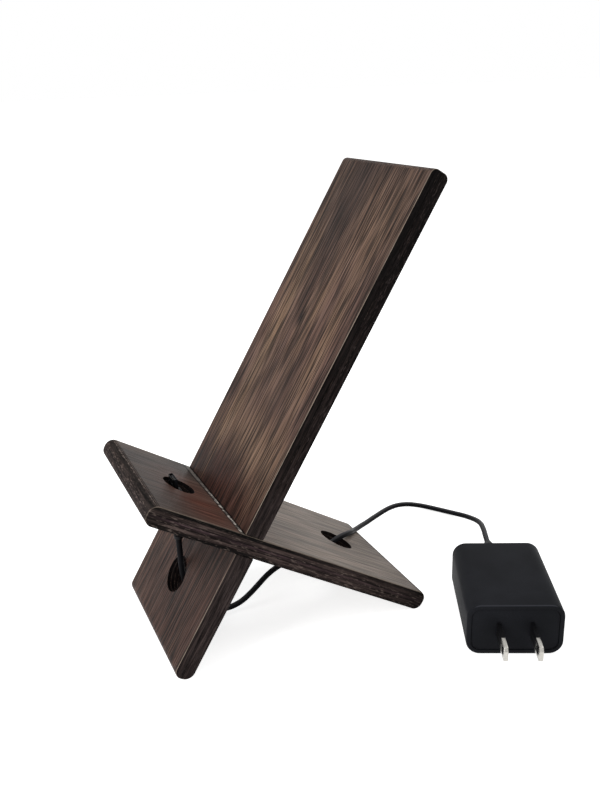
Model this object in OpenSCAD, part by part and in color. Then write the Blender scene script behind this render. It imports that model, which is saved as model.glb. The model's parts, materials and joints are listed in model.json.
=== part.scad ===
/* [Boards] */
// Width of both boards, measured across the phone
board_w = 68; // [60:1:80]
// Thickness of both boards
board_t = 8; // [7:0.5:10]
// Length of the backrest above the shelf's top face
backrest_above = 148; // [120:1:170]
// Length of the backrest below the shelf's top face, down to the table
backrest_below = 61; // [54:1:72]
// Length of the shelf in front of the backrest's front face
shelf_front = 39; // [34:1:50]
// Length of the shelf behind the backrest's front face, down to the table
shelf_rear = 93; // [82:1:110]
// Radius on the three board ends that meet the hand and the table
nose_r = 3.5; // [1:0.1:3.5]
// Radius on the top end of the backrest
top_r = 2.5; // [0.5:0.1:3.5]
// Play of each half-lap slot, shared by its two walls
slot_play = 0.4; // [0.3:0.1:1]

/* [Holes in the boards] */
// Diameter of the two holes that only the cord passes through
cord_hole_d = 15; // [14:0.5:20]
// Distance of the plug's hole in front of the backrest's front face
plug_hole_at = 16.9; // [15:0.1:22]
// Distance of the shelf's rear hole behind the backrest's front face
rear_hole_at = 63; // [58:1:70]
// Distance of the backrest's hole below the shelf's top face
low_hole_at = 35; // [32:0.5:40]

/* [Cord and plug] */
// Diameter of the cord
cord_d = 2.4; // [2:0.1:3]
// Width of the plug's moulded body, along the boards' width
plug_w = 8.8; // [8:0.1:10]
// Thickness of the plug's moulded body
plug_t = 6.4; // [5.5:0.1:7]
// Length of the plug's moulded body
plug_body_l = 13.5; // [11:0.5:16]
// Length of the plug's ribbed strain relief
plug_relief_l = 7.5; // [6:0.5:10]
// Length of metal shell that shows past the moulded body
plug_shell_l = 6; // [5:0.1:7]
// Play between the upright plug and the edges of its hole
plug_play = 0.4; // [0.3:0.1:1]
// Height of the plug's tip above the shelf's top face
plug_rise = 2.8; // [2:0.1:5]

/* [Charger] */
// Width of the charger's case
case_w = 37; // [36:0.5:42]
// Length of the charger's case, without its blades and strain relief
case_l = 48; // [47:0.5:56]
// Height of the charger's case
case_h = 22; // [21.5:0.5:26]
// Radius along the case's long edges
case_r = 5.5; // [4:0.1:6.5]
// Radius round the case's cord end
case_end_r = 1.6; // [1:0.1:4]
// Draft of the case's sides and top from its blade end to its cord end
case_draft = 0.2; // [0:0.1:1]
// Wall thickness of the case
case_wall = 1.8; // [1.4:0.1:2]
// Height of the cord outlet above the table
outlet_h = 11; // [10:0.1:12]
// Length of the charger's strain relief outside the case
relief_l = 18; // [16:0.5:30]
// Turn of the charger on the table, in degrees
charger_turn = 63; // [50:1:76]
// Length of each blade outside the case
blade_l = 16; // [15.5:0.1:18]

/* [Hidden] */

$fn = 64;
// Overrun of every cut past the face it starts from
cut = 1;

// Round ends, limited by the thickness of the board
end_flat_share = 0.05;
end_r = min(nose_r, board_t * (1 - end_flat_share) / 2);
crown_r = min(top_r, board_t * (1 - end_flat_share) / 2);

// Lean of the backrest from the table: with it, both boards' lower ends stand on the table
lean = atan2(shelf_rear - board_t, backrest_below - board_t);
// The joint line is where the backrest's front face meets the shelf's top face
joint_z = end_r + (board_t - end_r) * cos(lean) + (backrest_below - end_r) * sin(lean);
front_y = (end_r - shelf_front) * sin(lean) + (end_r - board_t) * cos(lean) - end_r;
back_y = (board_t - crown_r) * sin(lean) + (backrest_above - crown_r) * cos(lean) + crown_r;
joint_y = -(front_y + back_y) / 2;

// The plug stands upright in a hole that is square to the leaning shelf
plug_hole_d = (plug_t + 2 * plug_play + board_t * cos(lean)) / sin(lean);
plug_y = joint_y - plug_hole_at * sin(lean) - board_t * cos(lean) / 2;
plug_l = plug_relief_l + plug_body_l + plug_shell_l;
plug_tip_z = joint_z + (joint_y - plug_y) / tan(lean) + plug_rise;
plug_foot_z = plug_tip_z - plug_l;

// Metal shell of the plug: outside width and thickness, wall, corner cut and length inside the body
shell_w = 6.9;
shell_t = 1.9;
shell_wall = 0.3;
shell_corner = 0.6;
shell_root = 4;
// Insulating tongue inside the shell, and its five contacts
tongue_w = 5.4;
tongue_t = 0.6;
tongue_short = 0.6;
contact_count = 5;
contact_pitch = 0.65;
contact_w = 0.36;
contact_t = 0.15;
// Spring latches that look out of two windows in the shell
latch_gap = 4.4;
latch_w = 0.7;
latch_l = 1.6;
latch_rise = 0.25;
latch_from_tip = 2.2;
// Ribs of the plug's strain relief, from its foot to its body
plug_rib_count = 3;
plug_foot_d = 3.4;
plug_neck_d = 5.4;
rib_groove = 0.6;
rib_share = 0.55;

// Cord: sides of its tube and the points that it follows
cord_sides = 8;
front_route = [[0, plug_y, plug_foot_z], [0, plug_y, 37.6], [0.1, -40.5, 32.1], [0.2, -40.4, 27.2],
    [0.3, -39.9, 22.3], [0.5, -38.9, 17.5], [0.6, -37.2, 12.9], [0.7, -34.5, 8.8],
    [0.8, -30.9, 5.5], [0.8, -26.4, 3.4], [0.6, -21.5, 2.8]];
rear_route = [[0.6, -21.5, 2.8], [0.3, -16.4, 3.8], [-0.4, -11.7, 6.1], [-1.1, -7.3, 9],
    [-1.7, -3, 11.9], [-2, 1.7, 14.2], [-2, 6.7, 15.6], [-1.9, 11.9, 16.1], [-1.7, 17.1, 16.4],
    [-1.7, 22.3, 17.4], [-2, 27.4, 19.1], [-3.1, 32.5, 20.1], [-5.5, 37.1, 19.3],
    [-8.8, 40.7, 17.4], [-12.7, 43.4, 15.1], [-16.6, 46, 12.8], [-20.5, 49, 10.8],
    [-24.2, 52.2, 8.9], [-27.8, 55.7, 7.3], [-31.2, 59.4, 5.9], [-34.4, 63.4, 4.7],
    [-37.4, 67.7, 4], [-40, 72.2, 3.6], [-42.2, 77, 3.6], [-43.7, 82, 3.8], [-44.3, 87.2, 3.7],
    [-43.6, 92.4, 3.2], [-41.6, 97.2, 2.4], [-38.5, 101.4, 1.7], [-34.6, 104.9, 1.3],
    [-30.1, 107.7, 1.4], [-25.3, 109.6, 2], [-20.2, 110.8, 3], [-15.1, 111, 4.2],
    [-10.1, 110.4, 5.6], [-5.2, 109, 7.1], [-0.6, 107, 8.5], [3.9, 104.6, 9.7], [8.4, 102.1, 10.6],
    [13, 99.5, 11], [18.35, 96.78, 11]];
route = concat(front_route, [for (i = [1:len(rear_route) - 1]) rear_route[i]]);
meeting = len(front_route) - 1;

// The charger lies where the cord's last point meets its strain relief
cord_end = rear_route[len(rear_route) - 1];
charger_away = [-sin(charger_turn), cos(charger_turn)];
charger_at = [cord_end[0], cord_end[1]] - (case_l + relief_l) * charger_away;

// Edge break of the case's open end, and its end cap with the boss that grips the blades
case_break = 0.8;
cap_play = 0.1;
cap_inset = 0.3;
cap_t = 2.4;
boss = [21, 3.3, 9.2];
// Blades: height, thickness, spacing, hole, corner cut and length inside the cap
blade_h = 6.35;
blade_t = 1.5;
blade_pitch = 12.7;
blade_hole_d = 3.1;
blade_hole_at = 11.9;
blade_corner = 1.3;
blade_root = 9.6;
blade_z = case_h / 2;

// Circuit board: ledge under it, play to the side walls and ends, thickness
ledge_w = 3.2;
ledge_h = 2.4;
pcb_side_play = 1.2;
pcb_end_play = 1;
pcb_front_play = 0.4;
pcb_t = 1.6;
pcb_z = case_wall + ledge_h;
pcb_top = pcb_z + pcb_t;
pcb_w = case_w - 2 * case_wall - 2 * pcb_side_play;
pcb_y0 = cap_inset + cap_t + boss[1] + pcb_front_play;
pcb_l = case_l - case_wall - pcb_end_play - pcb_y0;

// Spring contact: strip width, thickness, height above the circuit board and length of its foot
clip_w = 3;
clip_t = 0.4;
clip_h = 8.4;
clip_foot = 2.9;

// Places on the circuit board: share of its half width, share of its length
choke_shares = [-0.74, 0.18];
resistor_shares = [-0.1, 0.155];
diode_shares = [[-0.81, 0.315], [-0.5, 0.315], [-0.19, 0.315], [0.12, 0.315]];
front_can_shares = [0.645, 0.215];
rear_can_shares = [0.645, 0.46];
transformer_shares = [-0.29, 0.535];
chip_shares = [0.68, 0.645];
opto_shares = [-0.23, 0.83];
disc_shares = [-0.7, 0.82];
output_diode_shares = [0.19, 0.86];
output_can_shares = [0.645, 0.86];

// Sizes of what stands on the circuit board
choke_d = 6;
choke_h = 8;
choke_waist_d = 4.4;
choke_flange_h = 1.2;
resistor_d = 3;
resistor_l = 8;
resistor_lift = 0.5;
lead_d = 0.7;
diode_size = [4.3, 2.6, 2.2];
input_can_d = 8;
input_can_h = 12;
output_can_d = 6.3;
output_can_h = 11;
can_groove_at = 1.6;
can_groove = 0.4;
chip_size = [4, 5, 1.5];
opto_size = [4.6, 6.5, 3.5];
disc_d = 7;
disc_t = 3;
disc_lift = 1.2;
output_diode_size = [4.6, 3.6, 2.3];

// Transformer: core outside, its legs and yokes, and the bobbin that carries the winding
core_size = [16, 5, 12.6];
core_leg = 4;
core_side = 2.2;
core_yoke = 2.3;
core_lift = 0.4;
bobbin_wall = 0.6;
bobbin_play = 0.2;
flange_t = 0.8;
flange_w = 11;
flange_l = 12.4;
foot_t = 2.6;
winding_inset = 0.3;

// Strain relief of the charger: inner flange, neck, ribs, and cone down to the cord
relief_flange_d = 9;
relief_flange_t = 1.5;
relief_neck_d = 6;
relief_collar_d = 8;
relief_collar_l = 2;
relief_rib_count = 5;
relief_rib_end_d = 5.4;
relief_cone_l = 5;
relief_tip_d = 2.9;
relief_play = 0.1;

// Two wires from the strain relief's inner end down to the circuit board
wire_d = 1.1;
wire_pitch = 2;
wire_run = 1.6;

// Places its children in the frame of the leaning boards: Y along the shelf, Z up the backrest
module on_boards() {
    translate([0, joint_y, joint_z]) rotate([lean - 90, 0, 0]) children();
}

// Places its children on the table in the charger's own frame: Y runs away from the blades
module at_charger() {
    translate([charger_at[0], charger_at[1], 0]) rotate([0, 0, charger_turn]) children();
}

// Places its children upright at the foot of the plug
module at_plug() {
    translate([0, plug_y, plug_foot_z]) children();
}

// Side outline of a board that lies along X, with its lower end at the origin
module board_side(length, low_r, high_r) {
    translate([low_r, 0]) square([length - low_r - high_r, board_t]);
    translate([0, low_r]) square([length / 2, board_t - 2 * low_r]);
    translate([length / 2, high_r]) square([length / 2, board_t - 2 * high_r]);
    for (y = [low_r, board_t - low_r]) translate([low_r, y]) circle(low_r);
    for (y = [high_r, board_t - high_r]) translate([length - high_r, y]) circle(high_r);
}

module shelf_board() {
    color("#4a3a36") on_boards() difference() {
        translate([-board_w / 2, -shelf_front, -board_t]) rotate([90, 0, 90])
            linear_extrude(board_w) board_side(shelf_front + shelf_rear, end_r, end_r);
        // Half-lap slot, open on the left edge
        translate([-board_w / 2 - cut, -slot_play / 2, -board_t - cut])
            cube([board_w / 2 + cut + slot_play / 2, board_t + slot_play, board_t + 2 * cut]);
        translate([0, -plug_hole_at, -board_t - cut]) cylinder(d = plug_hole_d, h = board_t + 2 * cut);
        translate([0, rear_hole_at, -board_t - cut]) cylinder(d = cord_hole_d, h = board_t + 2 * cut);
    }
}

module backrest_board() {
    color("#5a4640") on_boards() difference() {
        translate([-board_w / 2, board_t, -backrest_below]) rotate([90, 0, 90])
            linear_extrude(board_w) rotate(90) board_side(backrest_below + backrest_above, end_r, crown_r);
        // Half-lap slot, open on the right edge
        translate([-slot_play / 2, -cut, -board_t - slot_play / 2])
            cube([board_w / 2 + cut + slot_play / 2, board_t + 2 * cut, board_t + slot_play]);
        translate([0, -cut, -low_hole_at]) rotate([-90, 0, 0])
            cylinder(d = cord_hole_d, h = board_t + 2 * cut);
    }
}

// Direction of the cord at each point: square to the plug's foot and to the strain relief's tip
function unit(v) = v / norm(v);
function heading(i) = i == 0 ? [0, 0, -1] :
    i == len(route) - 1 ? [-charger_away[0], -charger_away[1], 0] : unit(route[i + 1] - route[i - 1]);
function square_to(v, t) = unit(v - (v * t) * t);
// One side direction for each point, carried along so that the cord doesn't twist
function sides_from(i, side) = i == len(route) ? [] :
    let (s = square_to(side, heading(i))) concat([s], sides_from(i + 1, s));

// The stretch of cord between two points of the route, as a tube
module cord(first, final) {
    n = cord_sides;
    sides = sides_from(0, [1, 0, 0]);
    rings = [for (i = [first:final], k = [0:n - 1])
        let (s = sides[i], c = cross(heading(i), s), a = 360 * k / n)
        route[i] + cord_d / 2 * (cos(a) * s + sin(a) * c)];
    walls = [for (i = [0:final - first - 1], k = [0:n - 1])
        let (a = i * n + k, b = i * n + (k + 1) % n)
        each [[a, b, b + n], [a, b + n, a + n]]];
    last = (final - first) * n;
    ends = [for (k = [1:n - 2]) each [[0, k + 1, k], [last, last + k, last + k + 1]]];
    polyhedron(rings, [for (f = concat(walls, ends)) [f[0], f[2], f[1]]]);
}

module cord_front() {
    color("#26262a") cord(0, meeting);
}

module cord_rear() {
    color("#26262a") cord(meeting, len(route) - 1);
}

// Half outline of a ribbed cone from z0 to z1, as pairs of radius and height
function ribbed(count, z0, z1, d0, d1) = [for (i = [0:count - 1])
    let (step = (z1 - z0) / count, z = z0 + i * step,
        r = (d0 + (d1 - d0) * (i + rib_share / 2) / count) / 2)
    each [[r, z], [r, z + step * rib_share], [r - rib_groove, z + step * rib_share],
        [r - rib_groove, z + step]]];

// Flat with round ends: the cross-section of the plug's body
module plug_section(w, t) {
    square([w - t, t], center = true);
    for (s = [-1, 1]) translate([s * (w - t) / 2, 0]) circle(d = t);
}

// Outline of the plug's metal shell, with two cut corners on its front side
module shell_section(w, t, corner) {
    polygon([[-w / 2, t / 2], [w / 2, t / 2], [w / 2, corner - t / 2], [w / 2 - corner, -t / 2],
        [corner - w / 2, -t / 2], [-w / 2, corner - t / 2]]);
}

module plug_overmould() {
    color("#1d1d20") at_plug() difference() {
        union() {
            rotate_extrude() polygon(concat([[0, 0]],
                ribbed(plug_rib_count, 0, plug_relief_l, plug_foot_d, plug_neck_d),
                [[0, plug_relief_l]]));
            translate([0, 0, plug_relief_l]) linear_extrude(plug_body_l) plug_section(plug_w, plug_t);
        }
        translate([0, 0, plug_l - plug_shell_l - shell_root]) linear_extrude(shell_root + cut)
            shell_section(shell_w, shell_t, shell_corner);
    }
}

module plug_shell() {
    color("#b9babd") at_plug() translate([0, 0, plug_l - plug_shell_l - shell_root]) difference() {
        linear_extrude(shell_root + plug_shell_l) shell_section(shell_w, shell_t, shell_corner);
        translate([0, 0, shell_wall]) linear_extrude(shell_root + plug_shell_l)
            shell_section(shell_w - 2 * shell_wall, shell_t - 2 * shell_wall, shell_corner - shell_wall / 2);
        // Windows for the two latches
        for (s = [-1, 1])
            translate([s * latch_gap / 2 - latch_w / 2, -shell_t / 2 - cut,
                shell_root + plug_shell_l - latch_from_tip - latch_l])
                cube([latch_w, cut + shell_wall, latch_l]);
    }
}

// The tongue lies against the back wall of the shell
tongue_y = shell_t / 2 - shell_wall - tongue_t;
tongue_z = plug_l - plug_shell_l - shell_root + shell_wall;
tongue_l = shell_root + plug_shell_l - shell_wall - tongue_short;

module plug_tongue() {
    color("#141416") at_plug() translate([-tongue_w / 2, tongue_y, tongue_z])
        cube([tongue_w, tongue_t, tongue_l]);
}

module plug_contacts() {
    color("#c9a24a") at_plug() for (i = [0:contact_count - 1])
        translate([(i - (contact_count - 1) / 2) * contact_pitch - contact_w / 2,
            tongue_y - contact_t, tongue_z])
            cube([contact_w, contact_t, tongue_l - tongue_short]);
}

module plug_latches() {
    color("#b9babd") at_plug() for (s = [-1, 1])
        translate([s * latch_gap / 2 - latch_w / 2, -shell_t / 2 - latch_rise,
            plug_l - latch_from_tip - latch_l])
            cube([latch_w, latch_rise + shell_wall, latch_l]);
}

// Rectangle in X and Z with round corners, run along Y from y0
module long_box(w, h, r, y0, length, z0) {
    translate([0, y0 + length, z0]) rotate([90, 0, 0]) linear_extrude(length) {
        translate([r - w / 2, 0]) square([w - 2 * r, h]);
        translate([-w / 2, r]) square([w, h - 2 * r]);
        for (x = [r - w / 2, w / 2 - r], z = [r, h - r]) translate([x, z]) circle(r);
    }
}

// Solid outer form of the case: its sides and top draw in towards the cord end, which is rounded over
module case_form() {
    hull() for (side = [-1, 1], high = [0, 1]) {
        translate([side * (case_w / 2 - case_r), 0, high ? case_h - case_r : case_r])
            rotate([-90, 0, 0]) {
                cylinder(r = case_r - case_break, h = case_end_r, $fn = 32);
                translate([0, 0, case_break]) cylinder(r = case_r, h = case_break, $fn = 32);
            }
        translate([side * (case_w / 2 - case_r - case_draft), case_l - 2 * case_end_r,
            high ? case_h - case_r - case_draft : case_r]) rotate([-90, 0, 0])
                for (a = [0:30:90]) cylinder(r = case_r - case_end_r * (1 - cos(a)),
                    h = case_end_r * (1 + sin(a)), $fn = 32);
    }
}

module charger_case() {
    color("#1f2023") at_charger() {
        difference() {
            case_form();
            long_box(case_w - 2 * case_wall, case_h - 2 * case_wall, case_r - case_wall, -cut,
                case_l - case_wall + cut, case_wall);
            translate([0, case_l - case_wall - cut, outlet_h]) rotate([-90, 0, 0])
                cylinder(d = relief_neck_d + 2 * relief_play, h = case_wall + 2 * cut);
        }
        // Ledges that carry the circuit board
        for (s = [-1, 1]) translate([s * (case_w / 2 - case_wall - ledge_w / 2) - ledge_w / 2, pcb_y0,
            case_wall / 2]) cube([ledge_w, pcb_l, ledge_h + case_wall / 2]);
    }
}

// Solid that one blade fills, from its root inside the cap to its tip
module blade_form(x) {
    translate([x + blade_t / 2, 0, blade_z]) rotate([0, -90, 0]) linear_extrude(blade_t)
        polygon([[-blade_h / 2, blade_root], [-blade_h / 2, blade_corner - blade_l],
            [blade_corner - blade_h / 2, -blade_l], [blade_h / 2 - blade_corner, -blade_l],
            [blade_h / 2, blade_corner - blade_l], [blade_h / 2, blade_root]]);
}

module blade(x) {
    color("#c4c5c8") at_charger() difference() {
        blade_form(x);
        translate([x - blade_t / 2 - cut, -blade_hole_at, blade_z]) rotate([0, 90, 0])
            cylinder(d = blade_hole_d, h = blade_t + 2 * cut, $fn = 32);
    }
}

module blade_left() blade(-blade_pitch / 2);

module blade_right() blade(blade_pitch / 2);

module charger_end_cap() {
    color("#1b1c1f") at_charger() difference() {
        union() {
            long_box(case_w - 2 * (case_wall + cap_play), case_h - 2 * (case_wall + cap_play),
                case_r - case_wall, cap_inset, cap_t, case_wall + cap_play);
            translate([-boss[0] / 2, cap_inset + cap_t, blade_z - boss[2] / 2]) cube(boss);
        }
        for (s = [-1, 1]) blade_form(s * blade_pitch / 2);
    }
}

// Spring strip on the outer side of a blade, standing on the circuit board; side is -1 or 1
module blade_contact(side) {
    color("#b08d4c") at_charger()
        translate([side * (blade_pitch + blade_t) / 2, blade_root - clip_w, pcb_top])
            mirror([side < 0 ? 1 : 0, 0, 0]) {
                cube([clip_t, clip_w, clip_h]);
                cube([clip_foot, clip_w, clip_t]);
            }
}

module blade_contact_left() blade_contact(-1);

module blade_contact_right() blade_contact(1);

module circuit_board() {
    color("#4f7a3a") at_charger() translate([-pcb_w / 2, pcb_y0, pcb_z]) cube([pcb_w, pcb_l, pcb_t]);
}

// Places its children on the circuit board's top face, at shares of its half width and its length
module on_pcb(shares) {
    at_charger() translate([shares[0] * pcb_w / 2, pcb_y0 + shares[1] * pcb_l, pcb_top]) children();
}

// Block that stands on the circuit board, centred on its place
module block(size) {
    translate([-size[0] / 2, -size[1] / 2, 0]) cube(size);
}

// Can of an electrolytic capacitor with the groove near its foot
module can(d, h) {
    difference() {
        cylinder(d = d, h = h);
        translate([0, 0, can_groove_at]) difference() {
            cylinder(d = d + cut, h = can_groove);
            translate([0, 0, -cut]) cylinder(d = d - can_groove, h = can_groove + 2 * cut);
        }
    }
}

module input_choke() {
    color("#3b3b3f") on_pcb(choke_shares) {
        cylinder(d = choke_d, h = choke_flange_h);
        cylinder(d = choke_waist_d, h = choke_h);
        translate([0, 0, choke_h - choke_flange_h]) cylinder(d = choke_d, h = choke_flange_h);
    }
}

module fusible_resistor() {
    color("#6f8f86") on_pcb(resistor_shares) {
        translate([-resistor_l / 2, 0, resistor_lift + resistor_d / 2]) rotate([0, 90, 0])
            cylinder(d = resistor_d, h = resistor_l);
        for (s = [-1, 1]) translate([s * (resistor_l / 2 - lead_d), 0, 0])
            cylinder(d = lead_d, h = resistor_lift + resistor_d / 2);
    }
}

module input_diodes() {
    color("#232326") for (place = diode_shares) on_pcb(place) block(diode_size);
}

module input_capacitor_front() {
    color("#20304f") on_pcb(front_can_shares) can(input_can_d, input_can_h);
}

module input_capacitor_rear() {
    color("#20304f") on_pcb(rear_can_shares) can(input_can_d, input_can_h);
}

// Heights of the transformer above the circuit board
window_z = core_lift + core_yoke;
window_h = core_size[2] - 2 * core_yoke;
window_w = (core_size[0] - core_leg) / 2 - core_side;

module transformer_core() {
    color("#3a3a3c") on_pcb(transformer_shares) translate([0, 0, core_lift]) difference() {
        block(core_size);
        for (s = [-1, 1])
            translate([s * (core_leg + window_w) / 2 - window_w / 2, -core_size[1] / 2 - cut, core_yoke])
                cube([window_w, core_size[1] + 2 * cut, window_h]);
    }
}

// Play, then wall, round the core's middle leg
spool_in = [core_leg + 2 * bobbin_play, core_size[1] + 2 * bobbin_play];
spool_out = [spool_in[0] + 2 * bobbin_wall, spool_in[1] + 2 * bobbin_wall];
spool_h = window_h - 2 * bobbin_play;

module transformer_bobbin() {
    color("#1f1f22") on_pcb(transformer_shares) {
        translate([0, 0, window_z + bobbin_play]) difference() {
            union() {
                block([spool_out[0], spool_out[1], spool_h]);
                block([flange_w, flange_l, flange_t]);
                translate([0, 0, spool_h - flange_t]) block([flange_w, flange_l, flange_t]);
            }
            translate([0, 0, -cut]) block([spool_in[0], spool_in[1], spool_h + 2 * cut]);
        }
        // Feet on both sides of the core, down to the circuit board
        for (s = [-1, 1]) translate([0, s * (flange_l - foot_t) / 2, 0])
            block([flange_w, foot_t, window_z + bobbin_play + flange_t]);
    }
}

module transformer_winding() {
    color("#c9a227") on_pcb(transformer_shares) translate([0, 0, window_z + bobbin_play + flange_t])
        difference() {
            block([flange_w - 2 * winding_inset, flange_l - 2 * winding_inset, spool_h - 2 * flange_t]);
            translate([0, 0, -cut]) block([spool_out[0], spool_out[1], spool_h + 2 * cut]);
        }
}

module controller_chip() {
    color("#202024") on_pcb(chip_shares) block(chip_size);
}

module optocoupler() {
    color("#ece7dc") on_pcb(opto_shares) block(opto_size);
}

module safety_capacitor() {
    color("#2f6fae") on_pcb(disc_shares) {
        translate([0, disc_t / 2, disc_lift + disc_d / 2]) rotate([90, 0, 0])
            cylinder(d = disc_d, h = disc_t);
        for (s = [-1, 1]) translate([s * disc_d / 4, 0, 0]) cylinder(d = lead_d, h = disc_lift + disc_d / 4);
    }
}

module output_diode() {
    color("#232326") on_pcb(output_diode_shares) block(output_diode_size);
}

module output_capacitor() {
    color("#20304f") on_pcb(output_can_shares) can(output_can_d, output_can_h);
}

// Inner end of the strain relief's flange
flange_y = case_l - case_wall - relief_flange_t;

module output_wires() {
    color("#a33a32") at_charger() for (s = [-1, 1]) translate([s * wire_pitch / 2, flange_y, 0]) {
        translate([0, 0, outlet_h]) rotate([90, 0, 0]) cylinder(d = wire_d, h = wire_run, $fn = 24);
        translate([0, -wire_run, outlet_h]) sphere(d = wire_d, $fn = 24);
        translate([0, -wire_run, pcb_top]) cylinder(d = wire_d, h = outlet_h - pcb_top, $fn = 24);
    }
}

module charger_strain_relief() {
    ribs_from = relief_collar_l;
    ribs_to = relief_l - relief_cone_l;
    color("#1b1c1f") at_charger() translate([0, case_l, outlet_h]) rotate([-90, 0, 0])
        rotate_extrude() polygon(concat(
            [[0, -case_wall - relief_flange_t], [relief_flange_d / 2, -case_wall - relief_flange_t],
                [relief_flange_d / 2, -case_wall], [relief_neck_d / 2, -case_wall],
                [relief_neck_d / 2, 0], [relief_collar_d / 2, 0], [relief_collar_d / 2, relief_collar_l]],
            ribbed(relief_rib_count, ribs_from, ribs_to, relief_collar_d - rib_groove, relief_rib_end_d),
            [[relief_rib_end_d / 2, ribs_to], [relief_tip_d / 2, relief_l], [0, relief_l]]));
}

shelf_board();
backrest_board();
cord_front();
cord_rear();
plug_overmould();
plug_shell();
plug_tongue();
plug_contacts();
plug_latches();
charger_case();
charger_end_cap();
blade_left();
blade_right();
blade_contact_left();
blade_contact_right();
circuit_board();
input_choke();
fusible_resistor();
input_diodes();
input_capacitor_front();
input_capacitor_rear();
transformer_core();
transformer_bobbin();
transformer_winding();
controller_chip();
optocoupler();
safety_capacitor();
output_diode();
output_capacitor();
output_wires();
charger_strain_relief();
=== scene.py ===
import bpy
import bmesh
import json
import math
from functools import partial
from mathutils import Matrix, Vector

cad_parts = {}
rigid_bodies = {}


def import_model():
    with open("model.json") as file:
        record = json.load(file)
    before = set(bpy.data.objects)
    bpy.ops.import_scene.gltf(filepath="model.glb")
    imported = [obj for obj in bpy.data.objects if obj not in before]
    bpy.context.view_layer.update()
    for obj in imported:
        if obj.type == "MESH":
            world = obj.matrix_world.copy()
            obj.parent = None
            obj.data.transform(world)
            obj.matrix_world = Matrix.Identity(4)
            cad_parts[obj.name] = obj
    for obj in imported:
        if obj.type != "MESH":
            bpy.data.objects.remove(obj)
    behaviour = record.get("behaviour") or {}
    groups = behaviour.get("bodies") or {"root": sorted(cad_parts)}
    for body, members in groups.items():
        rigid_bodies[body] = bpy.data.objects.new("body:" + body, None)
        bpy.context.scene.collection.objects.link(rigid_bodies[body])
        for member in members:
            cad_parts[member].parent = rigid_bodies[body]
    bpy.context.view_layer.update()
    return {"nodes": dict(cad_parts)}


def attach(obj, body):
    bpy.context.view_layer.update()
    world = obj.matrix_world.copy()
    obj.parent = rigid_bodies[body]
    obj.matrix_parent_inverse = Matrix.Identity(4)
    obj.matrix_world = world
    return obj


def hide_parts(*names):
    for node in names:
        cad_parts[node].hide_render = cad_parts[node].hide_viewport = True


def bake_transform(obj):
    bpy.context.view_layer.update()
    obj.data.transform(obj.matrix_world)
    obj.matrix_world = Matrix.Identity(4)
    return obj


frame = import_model()
mm = 0.001
bpy.ops.object.select_all(action="DESELECT")
print("frame loaded:", len(frame["nodes"]), "nodes")

# shared places, in mm: the boards cross at the joint, the charger lies turned on the table
stand = {
    "joint": (0, -24.073, 54.673),
    "lean": 58.055,
    "chargerFace": (77.152, 66.813, 0),
    "chargerTurn": 63,
}
cut = 2  # every cutting tool reaches this far past what it cuts, in mm
lap = 0.2  # and what is joined on reaches this far into its neighbour
close = 0.01 * mm  # two places nearer than this are the same
joint = Vector(stand["joint"]) * mm
shelfTurn, backrestTurn = math.radians(stand["lean"] - 90), math.radians(stand["lean"])
chargerTurn = math.radians(stand["chargerTurn"])
chargerFace = Vector(stand["chargerFace"]) * mm
shelfPlace = Matrix.Translation(joint) @ Matrix.Rotation(shelfTurn, 4, "X")
backrestPlace = Matrix.Translation(joint) @ Matrix.Rotation(backrestTurn, 4, "X")
chargerPlace = Matrix.Translation(chargerFace) @ Matrix.Rotation(chargerTurn, 4, "Z")


# small helpers
def fromHex(code):  # sRGB hex to linear colour
    parts = [int(code[i:i + 2], 16) / 255 for i in (1, 3, 5)]
    return [c / 12.92 if c <= 0.04045 else ((c + 0.055) / 1.055) ** 2.4 for c in parts] + [1]


def addNode(tree, kind, inputs=(), out=0, stops=(), **settings):
    # one node and its settings; inputs are values or links, in order or by name, stops fill a colour ramp,
    # and out is the output that comes back
    node = tree.nodes.new("ShaderNode" + kind)
    for _ in stops[2:]:
        node.color_ramp.elements.new(0.5)
    for element, (at, colour) in zip(node.color_ramp.elements if stops else (), stops):
        element.position, element.color = at, fromHex(colour)
    for name, value in settings.items():
        setattr(node, name, value)
    for key, value in inputs.items() if isinstance(inputs, dict) else enumerate(inputs):
        if isinstance(value, bpy.types.NodeSocket):
            tree.links.new(value, node.inputs[key])
        else:
            node.inputs[key].default_value = value
    return node.outputs[out] if node.outputs else node


def newMaterial(name):
    mat = bpy.data.materials.new(name)
    mat.use_nodes = True
    mat.node_tree.nodes.clear()
    return mat, partial(addNode, mat.node_tree)  # what adds its nodes


def endEdit():
    if bpy.context.mode != "OBJECT":
        bpy.ops.object.mode_set(mode="OBJECT")
    bpy.ops.object.select_all(action="DESELECT")


def makeActive(piece):
    endEdit()
    piece.select_set(True)
    bpy.context.view_layer.objects.active = piece


def startEdit(piece, kind, test):  # edit mode, with what passes the test selected
    makeActive(piece)
    bpy.ops.object.mode_set(mode="EDIT")
    bpy.ops.mesh.select_mode(type=kind)
    bpy.ops.mesh.select_all(action="DESELECT")
    form = bmesh.from_edit_mesh(piece.data)
    for part in {"VERT": form.verts, "EDGE": form.edges, "FACE": form.faces}[kind]:
        if test(part):
            part.select_set(True)
    form.select_flush_mode()
    bmesh.update_edit_mesh(piece.data)


def takeNew(name):  # the primitive just added, named, its place and size kept in its mesh
    piece = bpy.context.object
    piece.name = name
    bpy.ops.object.transform_apply(location=True, rotation=True, scale=True)
    return piece


def addBlock(name, low, high):  # cube primitive between two corners in mm
    size = [(h - l) * mm for l, h in zip(low, high)]
    middle = [(h + l) / 2 * mm for l, h in zip(low, high)]
    bpy.ops.mesh.primitive_cube_add(size=1, location=middle)
    bpy.context.object.scale = size
    return takeNew(name)


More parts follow.
